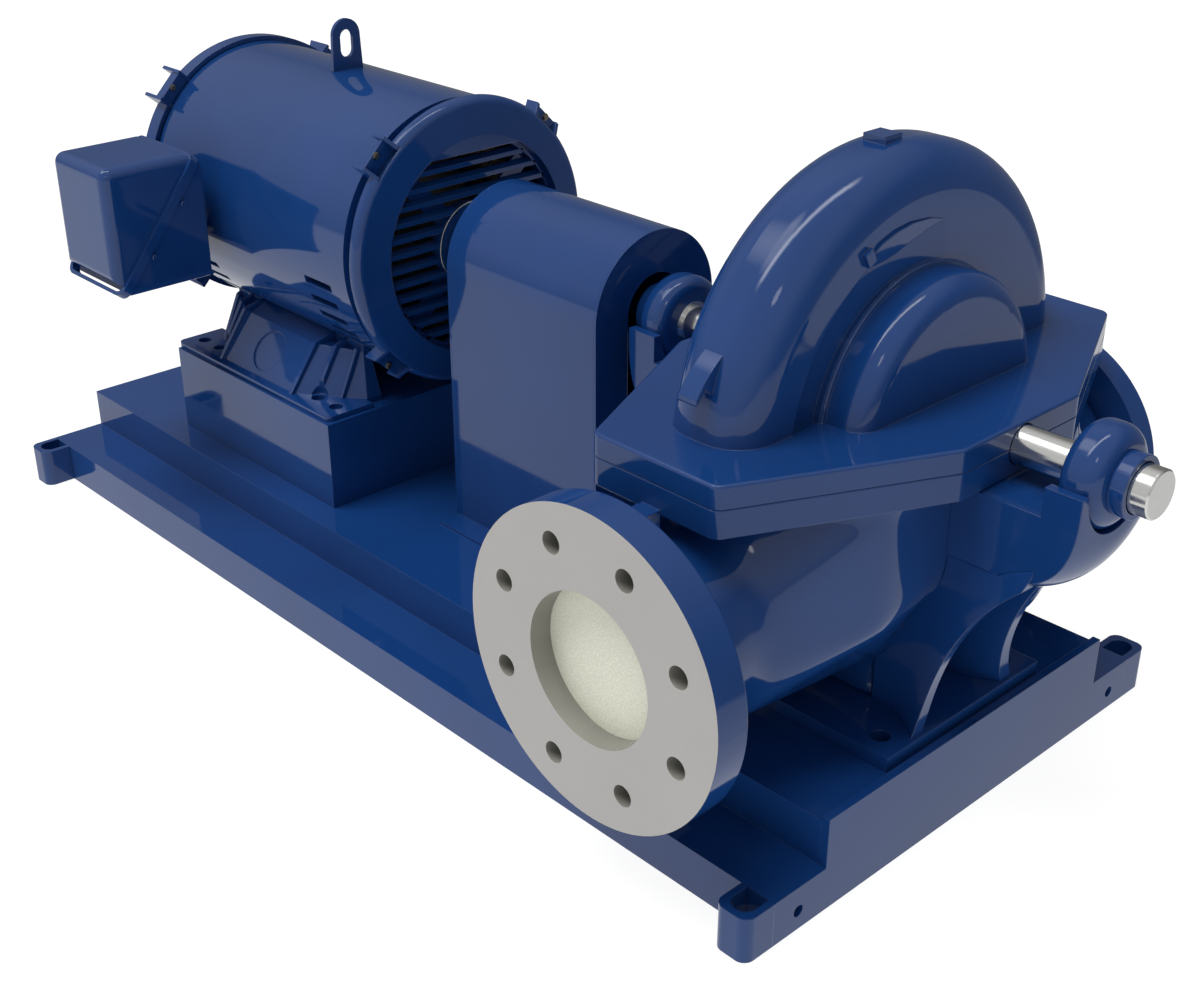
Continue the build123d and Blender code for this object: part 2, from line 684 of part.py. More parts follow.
# Pump casing, upper half: drums cut at the shaft's level, with lugs, on the split flange
with BuildPart() as upper_drums:
    drum(volute_r, volute_width / 2, volute_fillet)
    for side in (-1, 1):
        face_x = pump_x + side * volute_width / 2
        tilt = math.radians(groove_tilt)
        groove_plane = Plane(origin=(face_x - side * groove_depth, 0, shaft_z),
                             x_dir=(side * math.sin(tilt), math.cos(tilt), 0),
                             z_dir=(side * math.cos(tilt), -math.sin(tilt), 0))
        with BuildSketch(groove_plane):
            Circle(groove_r1)
            Circle(groove_r0, mode=Mode.SUBTRACT)
        extrude(amount=groove_cut, mode=Mode.SUBTRACT)
        with Locations(Location((face_x, 0, shaft_z), (face_lug_angle - 90, 0, 0))):
            with Locations((0, 0, face_lug_r)):
                Box(2 * face_lug_proud, face_lug_wide, face_lug_long)
    drum(groove_r0 - hub_step, volute_width / 2 + hub_step, hub_step)
    drum(dome_r, dome_half, dome_fillet)
    with BuildSketch(Plane.YZ.offset(pump_x - ear_t / 2)):
        for side in (-1, 1):
            with BuildLine():
                crest = (side * ear_top_y, shaft_z + ear_top)
                tip = (side * ear_tip_y, shaft_z + ear_tip_top)
                ThreePointArc(crest, (side * ear_back_y, shaft_z + ear_back), tip)
                Polyline(tip, (side * ear_tip_y, shaft_z + ear_tip_low), (side * ear_arch_y, shaft_z + ear_arch),
                         (side * ear_heel_y, shaft_z + ear_heel),
                         (side * (ear_top_y - ear_t), shaft_z + ear_heel),
                         (side * (ear_top_y - ear_t), shaft_z + ear_top), crest)
            make_face()
    extrude(amount=ear_t)
    with Locations((pump_x, -pad_size / 2, shaft_z + volute_r - pad_root)):
        Box(pad_size, pad_size, pad_root + pad_reach, align=(Align.CENTER, Align.CENTER, Align.MIN))
    split(bisect_by=Plane.XY.offset(shaft_z), keep=Keep.TOP)
with BuildPart() as upper_casing:
    with BuildSketch(Plane.XY.offset(shaft_z)) as top_plate:
        plate_outline()
        fillet(top_plate.vertices(), plate_corner_r)
    extrude(amount=plate_upper_t)
    fillet(upper_casing.faces().sort_by(Axis.Z)[-1].edges(), plate_edge_r)
    chamfer(upper_casing.faces().sort_by(Axis.Z)[0].edges(), seam_chamfer)
    add(upper_drums.part)
    ring(pump_x - plate_half_x, pump_x + plate_half_x, 0, pump_neck_r + casing_clearance, Mode.SUBTRACT)
save(upper_casing.part, "upper_casing")

# Pump casing, lower half: volute, suction passages and foot core, with a lofted branch to each flange
split_z = shaft_z - plate_lower_t
foot_plate_top = deck_height + foot_plate_t
roots = []
with BuildPart() as lower_casing:
    drum(volute_r, volute_width / 2, volute_fillet)
    drum(passage_r, passage_half, passage_fillet)
    with BuildSketch(Plane.XY.offset(foot_plate_top)):
        with Locations((pump_x, 0)):
            RectangleRounded(2 * core_half_x, 2 * core_half_y, core_r)
    extrude(amount=shaft_z - core_top_drop - foot_plate_top)
    for mouth_y, side, half in ((discharge_y + discharge_t, -1, discharge_root_half),
                                (suction_y - suction_t, 1, suction_root_half)):
        with BuildSketch(Plane.XZ.offset(-mouth_y)):
            with Locations((pump_x, nozzle_z)):
                Circle(nozzle_r)
        with BuildSketch(Plane.XZ.offset(-side * branch_root_y)) as branch_root:
            with Locations((pump_x, shaft_z - (branch_root_low + branch_root_high) / 2)):
                RectangleRounded(2 * half, branch_root_low - branch_root_high, branch_root_r)
        loft()
        roots.append(branch_root.sketch)
    loft(roots)
    split(bisect_by=Plane.XY.offset(split_z), keep=Keep.BOTTOM)
    with BuildSketch(Plane.XY.offset(split_z)) as low_plate:
        plate_outline()
        fillet(low_plate.vertices(), plate_corner_r)
    extrude(amount=plate_lower_t)
    chamfer(lower_casing.faces().sort_by(Axis.Z)[-1].outer_wire().edges(), seam_chamfer)
    with Locations((pump_x, -plate_half_y, shaft_z - boss_high)):
        Box(2 * boss_half, -discharge_y - discharge_t - plate_half_y, boss_low - boss_high,
            align=(Align.CENTER, Align.MAX, Align.MAX))
    ring(pump_x - plate_half_x, pump_x + plate_half_x, 0, pump_neck_r + casing_clearance, Mode.SUBTRACT)
save(lower_casing.part, "lower_casing")

for name, face_y, inward, radius, thickness in (("discharge", discharge_y, 1, discharge_r, discharge_t),
                                                ("suction", suction_y, -1, suction_r, suction_t)):
    with BuildPart() as flange:
        with BuildSketch(Plane.XZ.offset(-face_y)):
            with Locations((pump_x, nozzle_z)):
                Circle(radius)
                Circle(bore_r, mode=Mode.SUBTRACT)
                with PolarLocations(bolt_circle_r, flange_holes, start_angle=180 / flange_holes):
                    Circle(flange_hole_r, mode=Mode.SUBTRACT)
        extrude(amount=-inward * thickness)
    save(flange.part, f"{name}_flange")
    with BuildPart() as disc:
        with BuildSketch(Plane.XZ.offset(-face_y - inward * (thickness - disc_t))):
            with Locations((pump_x, nozzle_z)):
                Circle(bore_r)
        extrude(amount=-inward * disc_t)
    save(disc.part, f"{name}_bore_disc")

# Bearings on their arms, one at each end of the pump, over flared foot webs
for name, way in (("outboard", 1), ("inboard", -1)):
    with BuildPart() as arm:
        with Locations(Location((pump_x + arm_root, 0, shaft_z), (0, 90, 0))):
            Cylinder(arm_r, arm_reach - arm_root, align=(Align.CENTER, Align.CENTER, Align.MIN))
        fillet(arm.edges().filter_by(GeomType.CIRCLE).sort_by(Axis.X)[-1], arm_fillet)
        with Locations((pump_x, 0, shaft_z)):
            Box(2 * arm_reach, 2 * arm_half_width, 2 * arm_r, mode=Mode.INTERSECT,
                align=(Align.CENTER, Align.CENTER, Align.MAX))
        with Locations((pump_x + seat_reach, 0, shaft_z - arm_floor_drop)):
            Box(seat_reach, 2 * arm_half_width, arm_r, mode=Mode.SUBTRACT,
                align=(Align.MAX, Align.CENTER, Align.MIN))
        with BuildSketch(Plane.XY.offset(shaft_z - arm_floor_drop)):
            with Locations((pump_x + floor_recess_start + floor_recess_length / 2, 0)):
                RectangleRounded(floor_recess_length, floor_recess_width, floor_recess_r)
        extrude(amount=-floor_recess_depth, mode=Mode.SUBTRACT)
        ring(pump_x + seat_reach, pump_x + arm_reach, 0, housing_r, Mode.SUBTRACT)
        if way < 0:
            mirror(arm.part, about=Plane.YZ.offset(pump_x), mode=Mode.REPLACE)
        add(lower_casing.part, mode=Mode.SUBTRACT)
    save(arm.part, f"{name}_bearing_arm")
    with BuildPart() as housing:
        with Locations(Location((pump_x + housing_reach, 0, shaft_z), (0, 90, 0))):
            Cylinder(housing_r, housing_length, align=(Align.CENTER, Align.CENTER, Align.MIN))
        fillet(housing.edges().filter_by(GeomType.CIRCLE).sort_by(Axis.X)[0], housing_fillet_in)
        fillet(housing.edges().filter_by(GeomType.CIRCLE).sort_by(Axis.X)[-1], housing_fillet_out)
        ring(pump_x + housing_reach, pump_x + housing_reach + housing_length, 0,
             pump_shaft_r + running_clearance, Mode.SUBTRACT)
        if way < 0:
            mirror(housing.part, about=Plane.YZ.offset(pump_x), mode=Mode.REPLACE)
    save(housing.part, f"{name}_bearing_housing")
    with BuildPart() as cap:
        cap_x = pump_x + way * (housing_reach + housing_length)
        ring(cap_x, cap_x + way * cap_length, pump_shaft_r + casing_clearance, cap_r)
    save(cap.part, f"{name}_bearing_cap")

    web_top = shaft_z - web_drop
    with BuildPart() as foot:
        for level, reach, end_y in ((foot_plate_top, web_reach, web_low_y),
                                    (web_top + web_over, web_top_reach, web_high_y)):
            with BuildSketch(Plane.XY.offset(level)):
                with BuildLine():
                    start = Line((pump_x + core_half_x, core_half_y), (pump_x + web_flare_x, core_half_y))
                    flare = TangentArc(start @ 1, (pump_x + reach, end_y), tangent=start % 1)
                    edge = Line(flare @ 1, flare @ 1 + web_t * (flare % 1).rotate(Axis.Z, -90))
                    back = Line(start @ 0, start @ 0 - Vector(0, web_t))
                    inner = Line(back @ 1, start @ 1 - Vector(0, web_t))
                    TangentArc(inner @ 1, edge @ 1, tangent=inner % 1)
                make_face()
        loft()
        with BuildSketch(Plane.XZ):
            with BuildLine():
                rise = web_top - foot_plate_top
                corner = web_reach + web_arc_r - math.sqrt(web_arc_r**2 - rise**2)
                middle = web_reach + web_arc_r - math.sqrt(web_arc_r**2 - rise**2 / 4)
                start = Line((pump_x, foot_plate_top), (pump_x + web_reach, foot_plate_top))
                curve = ThreePointArc(start @ 1, (pump_x + middle, foot_plate_top + rise / 2),
                                      (pump_x + corner, web_top))
                Polyline(curve @ 1, (pump_x + corner, web_top + web_over), (pump_x, web_top + web_over), start @ 0)
            make_face()
        extrude(amount=2 * web_low_y, both=True, mode=Mode.INTERSECT)
        mirror(foot.part, about=Plane.XZ)
        if way < 0:
            mirror(foot.part, about=Plane.YZ.offset(pump_x), mode=Mode.REPLACE)
        add(lower_casing.part, mode=Mode.SUBTRACT)
        add(arm.part, mode=Mode.SUBTRACT)
    save(foot.part, f"{name}_foot_webs")
with BuildPart() as foot_plate:
    with Locations((pump_x, 0, deck_height)):
        Box(2 * foot_plate_half, foot_plate_width, foot_plate_t, align=(Align.CENTER, Align.CENTER, Align.MIN))
    with Locations(*[(pump_x + sx * pump_foot_hole_x, sy * pump_foot_hole_y, foot_plate_top)
                     for sx in (-1, 1) for sy in (-1, 1)]):
        Hole(pump_foot_hole_r, depth=foot_plate_t)
save(foot_plate.part, "pump_foot_plate")
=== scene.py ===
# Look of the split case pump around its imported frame: finishes, small pieces, finer pieces, light and camera.
import json
import math

import bmesh
import bpy
import numpy as np
from mathutils import Matrix, Vector


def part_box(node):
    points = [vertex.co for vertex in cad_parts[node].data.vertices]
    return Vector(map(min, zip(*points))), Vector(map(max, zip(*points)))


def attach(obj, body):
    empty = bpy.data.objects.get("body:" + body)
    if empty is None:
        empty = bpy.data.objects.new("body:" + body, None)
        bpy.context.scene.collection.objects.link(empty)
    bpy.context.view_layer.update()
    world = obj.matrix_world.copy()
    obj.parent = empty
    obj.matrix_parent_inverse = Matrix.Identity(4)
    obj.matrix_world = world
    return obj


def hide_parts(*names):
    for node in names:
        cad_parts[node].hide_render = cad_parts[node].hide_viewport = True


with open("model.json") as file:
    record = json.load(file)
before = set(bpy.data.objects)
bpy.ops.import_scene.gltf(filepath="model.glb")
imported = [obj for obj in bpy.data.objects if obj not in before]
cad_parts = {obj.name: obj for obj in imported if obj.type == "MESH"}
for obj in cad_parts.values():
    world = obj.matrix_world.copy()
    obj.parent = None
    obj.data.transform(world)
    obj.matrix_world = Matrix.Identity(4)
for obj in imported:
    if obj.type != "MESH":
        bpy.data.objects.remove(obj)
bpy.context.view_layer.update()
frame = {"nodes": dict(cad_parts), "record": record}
scene = bpy.context.scene

MM = 0.001

# Camera as fitted to the photo
IMAGE_WIDTH = 1200
IMAGE_HEIGHT = 1007
FOCAL_PIXELS = 1673.3
CENTRE_X = 611.8
CENTRE_Y = 504.4
CAMERA_PLACE = (1.4371, -1.2290, 1.0721)
CAMERA_TURN = (1.03253639, 0.43749632, 0.72731397)
SENSOR = 36.0
CLIP_START = 0.05

# Places on the part that the pieces below are set out from
SHAFT_Z = 0.4198
PUMP_X = 0.5208
NOZZLE_Z = 0.2594
FRONT_FACE_X = -88.0 * MM
REAR_FACE_X = -574.5 * MM
OPENING_R = 132.6 * MM
HUB_INNER_R = 44.5 * MM
HUB_OUTER_R = 52.5 * MM
PLATE_LOW = SHAFT_Z - 27.6 * MM

BLUE = (0.008, 0.047, 0.190)
PAINT_IOR = 1.5
STEEL = (0.72, 0.72, 0.70)
FLANGE_GREY = (0.45, 0.44, 0.427)
# The darker grey below is painted shade on the walls of the flanges' bore and bolt holes
WALL_SHADE_GREY = (0.27, 0.265, 0.235)
DISC_PALE = (0.87, 0.87, 0.74)
COIL_TAN = (0.30, 0.21, 0.12)
IRON = (0.05, 0.05, 0.055)
RUBBER_TAN = (0.34, 0.25, 0.12)
ZINC = (0.20, 0.19, 0.15)

# The middle range of a noise texture, which the ramps and roughness maps use
NOISE_LOW = 0.3
NOISE_HIGH = 0.7


# Node helpers
def new_material(name):
    """Makes a material and returns it with its tree and its Principled shader."""
    material = bpy.data.materials.new(name)
    material.use_nodes = True
    tree = material.node_tree
    return material, tree, tree.nodes["Principled BSDF"]


def noise(tree, scale, detail, stretch=(1, 1, 1)):
    """A noise texture in the part's own coordinates, stretched along the axes given."""
    place = tree.nodes.new("ShaderNodeTexCoord")
    mapping = tree.nodes.new("ShaderNodeMapping")
    mapping.inputs["Scale"].default_value = stretch
    texture = tree.nodes.new("ShaderNodeTexNoise")
    texture.inputs["Scale"].default_value = scale
    texture.inputs["Detail"].default_value = detail
    tree.links.new(place.outputs["Object"], mapping.inputs["Vector"])
    tree.links.new(mapping.outputs["Vector"], texture.inputs["Vector"])
    return texture.outputs["Fac"]


def spread(tree, value, low, high, start=NOISE_LOW, end=NOISE_HIGH):
    """Maps a value's range from start to end to the range from low to high, and holds it there."""
    node = tree.nodes.new("ShaderNodeMapRange")
    node.inputs["From Min"].default_value = start
    node.inputs["From Max"].default_value = end
    node.inputs["To Min"].default_value = low
    node.inputs["To Max"].default_value = high
    tree.links.new(value, node.inputs["Value"])
    return node.outputs["Result"]


def shade(colour, factor):
    """The colour, lighter or darker by the factor."""
    return tuple(min(1.0, c * factor) for c in colour)


def cloud(tree, value, colour, contrast):
    """The colour, from darker to lighter by the contrast over a texture's middle range."""
    node = tree.nodes.new("ShaderNodeValToRGB")
    node.color_ramp.elements.new(0.5)
    colours = (shade(colour, 1 - contrast), colour, shade(colour, 1 + contrast))
    step = (NOISE_HIGH - NOISE_LOW) / (len(colours) - 1)
    for k, stop in enumerate(colours):
        node.color_ramp.elements[k].position = NOISE_LOW + step * k
        node.color_ramp.elements[k].color = (*stop, 1)
    tree.links.new(value, node.inputs["Fac"])
    return node.outputs["Color"]


def relief(tree, shader, value, height, edge_r):
    """Bumps the surface by the value, over edges softened by edge_r."""
    bevel = tree.nodes.new("ShaderNodeBevel")
    bevel.samples = 6
    bevel.inputs["Radius"].default_value = edge_r
    bump = tree.nodes.new("ShaderNodeBump")
    bump.inputs["Distance"].default_value = height
    tree.links.new(value, bump.inputs["Height"])
    tree.links.new(bevel.outputs["Normal"], bump.inputs["Normal"])
    tree.links.new(bump.outputs["Normal"], shader.inputs["Normal"])


# Finishes
PAINT_CLOUD_SCALE = 7.0
PAINT_CLOUD = 0.07
PAINT_WEAR_SCALE = 30.0
PAINT_WEAR = 0.04
METAL_STAIN_SCALE = 12.0
METAL_WEAR = 0.25
METAL_EDGE = 0.0006
GRAIN_EDGE = 0.0005


def enamel(name, peel, peel_height, rough, edge_r):
    """Gloss blue enamel: a faint cloud in the colour, orange peel, softened edges."""
    material, tree, shader = new_material(name)
    tint = cloud(tree, noise(tree, PAINT_CLOUD_SCALE, 4.0), BLUE, PAINT_CLOUD)
    tree.links.new(tint, shader.inputs["Base Color"])
    wear = spread(tree, noise(tree, PAINT_WEAR_SCALE, 3.0), rough, rough + PAINT_WEAR)
    tree.links.new(wear, shader.inputs["Roughness"])
    shader.inputs["IOR"].default_value = PAINT_IOR
    relief(tree, shader, noise(tree, peel, 2.0), peel_height, edge_r)
    return material


def bare_metal(name, colour, rough, grain, grain_height, stretch, metallic=1.0, stained=0.07):
    """Machined metal with tool marks along one way and slight stains."""
    material, tree, shader = new_material(name)
    tint = cloud(tree, noise(tree, METAL_STAIN_SCALE, 5.0), colour, stained)
    tree.links.new(tint, shader.inputs["Base Color"])
    marks = noise(tree, grain, 2.0, stretch)
    wear = spread(tree, marks, rough * (1 - METAL_WEAR), rough * (1 + METAL_WEAR))
    tree.links.new(wear, shader.inputs["Roughness"])
    shader.inputs["Metallic"].default_value = metallic
    relief(tree, shader, marks, grain_height, METAL_EDGE)
    return material


def mottled(name, colour, rough, grain, grain_height, contrast=0.2):
    """A dull granular surface, such as rubber, varnish or a pressed disc."""
    material, tree, shader = new_material(name)
    grains = noise(tree, grain, 4.0)
    tree.links.new(cloud(tree, grains, colour, contrast), shader.inputs["Base Color"])
    shader.inputs["Roughness"].default_value = rough
    relief(tree, shader, grains, grain_height, GRAIN_EDGE)
    return material


sheet_paint = enamel("sheet_paint", peel=260.0, peel_height=0.000004, rough=0.03, edge_r=0.0008)
cast_paint = enamel("cast_paint", peel=150.0, peel_height=0.000012, rough=0.05, edge_r=0.0015)
machined = bare_metal("machined_flange", FLANGE_GREY, rough=0.55, grain=900.0, grain_height=0.00001,
                      stretch=(1, 0.05, 1), metallic=0.0, stained=0.02)
# The same grey iron as the face, darkened: painted shade on the walls of the bore and the bolt holes, with stains
shaded_walls = bare_metal("shaded_walls_grey", WALL_SHADE_GREY, rough=0.5, grain=500.0, grain_height=0.00002,
                   stretch=(1, 0.2, 1), metallic=0.0, stained=0.12)
ground_steel = bare_metal("ground_steel", STEEL, rough=0.16, grain=400.0, grain_height=0.000004,
                          stretch=(4, 0.3, 0.3))
zinc_plate = bare_metal("zinc_plate", ZINC, rough=0.35, grain=300.0, grain_height=0.00001, stretch=(1, 1, 1))
coil_varnish = mottled("coil_varnish", COIL_TAN, rough=0.35, grain=160.0, grain_height=0.0004, contrast=0.35)
core_iron = mottled("core_iron", IRON, rough=0.5, grain=220.0, grain_height=0.0001)
disc_grain = mottled("disc_grain", DISC_PALE, rough=0.75, grain=700.0, grain_height=0.0005, contrast=0.16)
tan_rubber = mottled("tan_rubber", RUBBER_TAN, rough=0.6, grain=120.0, grain_height=0.0001)
hub_iron = mottled("hub_iron", IRON, rough=0.45, grain=150.0, grain_height=0.0001)

# Finishes of the CAD nodes
CAST = ("casing", "bearing", "foot", "feet", "bell", "flange", "lifting_eye", "lug")
SLOT_MATERIAL = {"polished_steel": ground_steel, "coil_winding": coil_varnish, "core_steel": core_iron,
                 "disc_face": disc_grain, "coupling_rubber": tan_rubber, "coupling_iron": hub_iron}
slots = {row["node"]: row["material_slot"] for row in frame["record"]["subparts"]}
for name, node in frame["nodes"].items():
    node.data.materials.clear()
    if slots[name] in SLOT_MATERIAL:
        node.data.materials.append(SLOT_MATERIAL[slots[name]])
    elif any(word in name for word in CAST):
        node.data.materials.append(cast_paint)
    else:
        node.data.materials.append(sheet_paint)

# Flanges: blue on the rim and the back, pale on the machined face, darker in the bore and the holes, where the
# darker grey is painted shade of these recesses
RIM_DEPTH = 2 * MM
PAINTED, FACED, WALLED = 0, 1, 2
for name, outward in (("discharge_flange", -1), ("suction_flange", 1)):
    node = frame["nodes"][name]
    low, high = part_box(name)
    rim_r = (high.x - low.x) / 2
    node.data.materials.append(machined)
    node.data.materials.append(shaded_walls)
    for face in node.data.polygons:
        reach = math.hypot(face.center.x - PUMP_X, face.center.z - NOZZLE_Z)
        on_rim = reach > rim_r - RIM_DEPTH
        facing_out = face.normal.y * outward
        on_wall = abs(facing_out) < 0.5
        face.material_index = PAINTED if on_rim or facing_out < -0.5 else WALLED if on_wall else FACED


# Mesh helpers
def finish_piece(name, mesh, material, body="skid"):
    """Makes an object of a finished bmesh, gives it its finish and lets it ride on its body."""
    data = bpy.data.meshes.new(name)
    mesh.to_mesh(data)
    mesh.free()
    piece = bpy.data.objects.new(name, data)
    scene.collection.objects.link(piece)
    data.materials.append(material)
    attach(piece, body)
    return piece


def turn_of(k, count):
    """The angle of step k when a full turn has so many steps."""
    return 2 * math.pi * k / count


def about_shaft(x, reach, angle):
    """The point at a radius and an angle about the shaft line."""
    return Vector((x, reach * math.cos(angle), SHAFT_Z + reach * math.sin(angle)))


def facing(point, direction, turn=0.0):
    """A frame at point whose Z axis is direction."""
    way = Vector(direction).to_track_quat("Z", "Y").to_matrix().to_4x4()
    return Matrix.Translation(point) @ way @ Matrix.Rotation(turn, 4, "Z")


def add_circle(mesh, place, radius, height, sides):
    """A ring of points about the Z axis of place."""
    return [mesh.verts.new(place @ Vector((radius * math.cos(turn_of(k, sides)),
                                           radius * math.sin(turn_of(k, sides)), height)))
            for k in range(sides)]


def bridge(mesh, near, far):
    """Joins two closed rings of as many points."""
    for k in range(len(near)):
        n = (k + 1) % len(near)
        mesh.faces.new((near[k], near[n], far[n], far[k]))


def skin(mesh, rings):
    """Joins a row of rings and closes both of its ends."""
    for near, far in zip(rings, rings[1:]):
        bridge(mesh, near, far)
    mesh.faces.new(list(reversed(rings[0])))
    mesh.faces.new(rings[-1])


def add_profile(mesh, place, outline, sides):
    """Turns an outline of (radius, height) points about the Z axis of place, with so many sides."""
    skin(mesh, [add_circle(mesh, place, radius, height, sides) for radius, height in outline])


# Bolts of the end bells' tabs; a bolt's sizes are shares of its width across flats and of its height
WASHER_R = 0.68
WASHER_TOP_R = 0.64
WASHER_EDGE = 0.18
WASHER_TOP = 0.22
HEAD_EDGE = 0.9
HEAD_TOP_R = 0.86
WASHER_SIDES = 32


def add_hex_bolt(mesh, place, across, height):
    """A washer and a chamfered hex head, seated on the plane z = 0 of place."""
    radius = across / math.sqrt(3)
    washer = [(across * WASHER_R, 0), (across * WASHER_R, height * WASHER_EDGE),
              (across * WASHER_TOP_R, height * WASHER_TOP)]
    head = [(radius, height * WASHER_TOP), (radius, height * HEAD_EDGE), (radius * HEAD_TOP_R, height)]
    add_profile(mesh, place, washer, WASHER_SIDES)
    add_profile(mesh, place, head, 6)


TAB_BOLT_ACROSS = 7 * MM
TAB_BOLT_HEIGHT = 2.6 * MM
TAB_BOLT_R = 182 * MM
DIAGONALS = (45, 135, 225, 315)
FRONT_TAB_SEAT = FRONT_FACE_X - 13.5 * MM
REAR_TAB_SEAT = REAR_FACE_X + 30.5 * MM
for name, seat_x in (("front", FRONT_TAB_SEAT), ("rear", REAR_TAB_SEAT)):
    mesh = bmesh.new()
    for angle in DIAGONALS:
        turn = math.radians(angle)
        place = facing(about_shaft(seat_x, TAB_BOLT_R, turn), (1, 0, 0), turn)
        add_hex_bolt(mesh, place, TAB_BOLT_ACROSS, TAB_BOLT_HEIGHT)
    finish_piece(f"bell_tab_bolts_{name}", mesh, zinc_plate)

# Screws in the side of the conduit box's strip, each a low head with a socket
STRIP_SIDE_X = -379.0 * MM
SCREW_SPOTS = ((-0.2246, 0.450), (-0.272, 0.3915))
SCREW_OUTLINE = [(3.2 * MM, 0), (3.2 * MM, 0.8 * MM), (2.4 * MM, 1.6 * MM), (1.2 * MM, 1.6 * MM),
                 (1.1 * MM, 0.5 * MM)]
SCREW_SIDES = 24
mesh = bmesh.new()
for y, z in SCREW_SPOTS:
    add_profile(mesh, facing((STRIP_SIDE_X, y, z), (1, 0, 0)), SCREW_OUTLINE, SCREW_SIDES)
finish_piece("conduit_box_screws", mesh, sheet_paint)

# Bare edge of the motor's hub ring
EDGE_WIRE_R = 0.7 * MM
WIRE_SIDES = 8
RING_SIDES = 96
mesh = bmesh.new()
for k in range(RING_SIDES):
    for j in range(WIRE_SIDES):
        tube = turn_of(j, WIRE_SIDES)
        reach = HUB_OUTER_R + EDGE_WIRE_R * math.cos(tube)
        x = FRONT_FACE_X + EDGE_WIRE_R * math.sin(tube)
        mesh.verts.new(about_shaft(x, reach, turn_of(k, RING_SIDES)))
mesh.verts.ensure_lookup_table()
for k in range(RING_SIDES):
    for j in range(WIRE_SIDES):
        next_k, next_j = (k + 1) % RING_SIDES, (j + 1) % WIRE_SIDES
        corners = ((k, j), (next_k, j), (next_k, next_j), (k, next_j))
        mesh.faces.new([mesh.verts[WIRE_SIDES * a + b] for a, b in corners])
finish_piece("hub_ring_edge", mesh, ground_steel)

# End windings: a wreath of varnished coil heads at each end of the core
COILS = 36
COIL_R = 6.5 * MM
COIL_SIDES = 8
COIL_SPAN = math.radians(36)
COIL_DEPTH = 26 * MM
COIL_STEPS = 12
STRANDS = 2
STRAND_STEP = 9 * MM
STRAND_LOWER = 0.25


def add_tube(mesh, points, radius, sides):
    """A closed-ended tube through the points."""
    rings = []
    for k, point in enumerate(points):
        along = (points[min(k + 1, len(points) - 1)] - points[max(k - 1, 0)]).normalized()
        rings.append(add_circle(mesh, facing(point, along), radius, 0, sides))
    skin(mesh, rings)


for name in ("front", "rear"):
    low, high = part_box(f"stator_winding_{name}")
    outer_r = (high.z - low.z) / 2 - COIL_R
    inner_r = outer_r - COIL_DEPTH
    foot_x, head_x = (low.x, high.x - COIL_R) if name == "front" else (high.x, low.x + COIL_R)
    mesh = bmesh.new()
    for k in range(COILS):
        for strand in range(STRANDS):
            points = []
            for step in range(COIL_STEPS + 1):
                share = step / COIL_STEPS
                rise = math.sin(math.pi * share) ** 0.5
                reach = outer_r + (inner_r - outer_r) * share - strand * STRAND_STEP * (1 - share)
                x = foot_x + (head_x - foot_x) * rise * (1 - STRAND_LOWER * strand)
                points.append(about_shaft(x, reach, turn_of(k, COILS) + COIL_SPAN * share))
            add_tube(mesh, points, COIL_R, COIL_SIDES)
    piece = finish_piece(f"coil_heads_{name}", mesh, coil_varnish)
    for face in piece.data.polygons:
        face.use_smooth = True
    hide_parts(f"stator_winding_{name}")

# Grilles of the end bells: slats with an upright front edge that rise a little inwards
GRILLE_DEPTH = 16 * MM
GRILLE_RING = 6 * MM
SLAT_ROWS = range(-7, 6)
SLAT_PITCH = 18.3 * MM
SLAT_SHIFT = 7.4 * MM
SLAT_EDGE = 5.5 * MM
SLAT_DEPTH = 10 * MM
SLAT_RISE = 3.0 * MM
SLAT_T = 2 * MM
SLAT_CLEARANCE = MM
HUB_LAP = 2 * MM
SHORTEST_GAP = 5 * MM
SPOKE_WIDTH = 24 * MM
SPOKE_CLEARANCE = 3 * MM
SPOKE_DEPTHS = (10.5 * MM, 14.5 * MM)


def add_hoop(mesh, x_low, x_high, inner_r, outer_r):
    """A flat hoop about the shaft line."""
    rings = [[mesh.verts.new(about_shaft(x, reach, turn_of(k, RING_SIDES))) for k in range(RING_SIDES)]
             for x, reach in ((x_low, inner_r), (x_high, inner_r), (x_high, outer_r), (x_low, outer_r))]
    for k, ring in enumerate(rings):
        bridge(mesh, ring, rings[(k + 1) % len(rings)])


def add_slat(mesh, face_x, way, level):
    """A slat across the opening at a height over the shaft, or its two halves where the hub ring is."""
    low, top = level - SLAT_EDGE / 2, level + SLAT_EDGE / 2
    back_x, inner_x = face_x - way * SLAT_T, face_x - way * SLAT_DEPTH
    outline = [(face_x, low), (face_x, top), (inner_x, top + SLAT_RISE),
               (inner_x, top + SLAT_RISE - SLAT_T), (back_x, top - SLAT_T), (back_x, low)]
    highest = max(abs(low), abs(top + SLAT_RISE))
    end = math.sqrt(max((OPENING_R - SLAT_CLEARANCE) ** 2 - highest ** 2, 0.0))
    gap = math.sqrt(max((HUB_OUTER_R - HUB_LAP) ** 2 - level ** 2, 0.0))
    for y_low, y_high in ((-end, -gap), (gap, end)) if gap > SHORTEST_GAP else ((-end, end),):
        skin(mesh, [[mesh.verts.new((x, y, SHAFT_Z + z)) for x, z in outline] for y in (y_low, y_high)])


def add_spoke(mesh, face_x, way, angle):
    """A flat spoke behind the slats, from the hub ring to the outer ring."""
    around = math.radians(angle)
    along = Vector((0, math.cos(around), math.sin(around)))
    side = Vector((0, -math.sin(around), math.cos(around))) * SPOKE_WIDTH / 2
    near, far = HUB_OUTER_R - HUB_LAP, OPENING_R - SPOKE_CLEARANCE
    corners = [Vector((0, 0, SHAFT_Z)) + along * reach + side * side_way
               for reach, side_way in ((near, -1), (far, -1), (far, 1), (near, 1))]
    front, back = [[mesh.verts.new((face_x - way * depth, c.y, c.z)) for c in corners] for depth in SPOKE_DEPTHS]
    bridge(mesh, front, back)
    mesh.faces.new(front)
    mesh.faces.new(list(reversed(back)))


